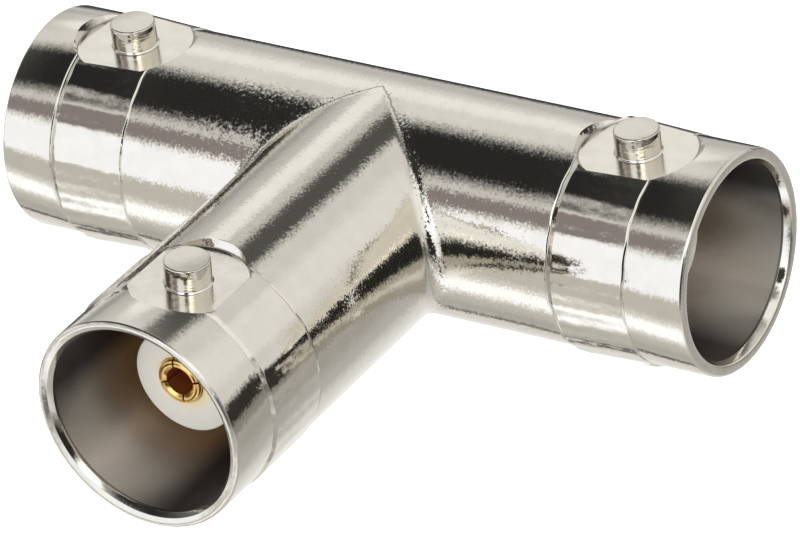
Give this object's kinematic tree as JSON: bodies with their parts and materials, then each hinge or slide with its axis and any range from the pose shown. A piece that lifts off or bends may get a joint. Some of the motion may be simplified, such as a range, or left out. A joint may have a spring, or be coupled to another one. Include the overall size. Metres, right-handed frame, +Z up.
{
  "type": "coaxial splitter",
  "caption": "Plated coaxial tee with a bayonet socket on each port, white insulators and slotted gold contacts joined by an inner rod.",
  "frame": {"origin": "centre of the bounding box's base, at the level of the branch's lower lug, which reaches 0.05 mm lower than the run's", "axes": "+X along the run towards its right-hand port, -Y along the branch towards its port, +Z up"},
  "size_m": [0.0336, 0.0248, 0.0111],
  "materials": {
    "nickel_plate": "bright nickel plate over a casting, lightly speckled",
    "white_insulator": "satin white, turned",
    "gold_plate": "bright gold plate",
    "bare_brass": "plain turned brass"
  },
  "bodies": {
    "root": {"tee_body": "nickel_plate", "right_insulator": "white_insulator", "left_insulator": "white_insulator", "branch_insulator": "white_insulator", "right_contact": "gold_plate", "left_contact": "gold_plate", "branch_contact": "gold_plate", "junction_rod": "bare_brass"}
  },
  "joints": []
}
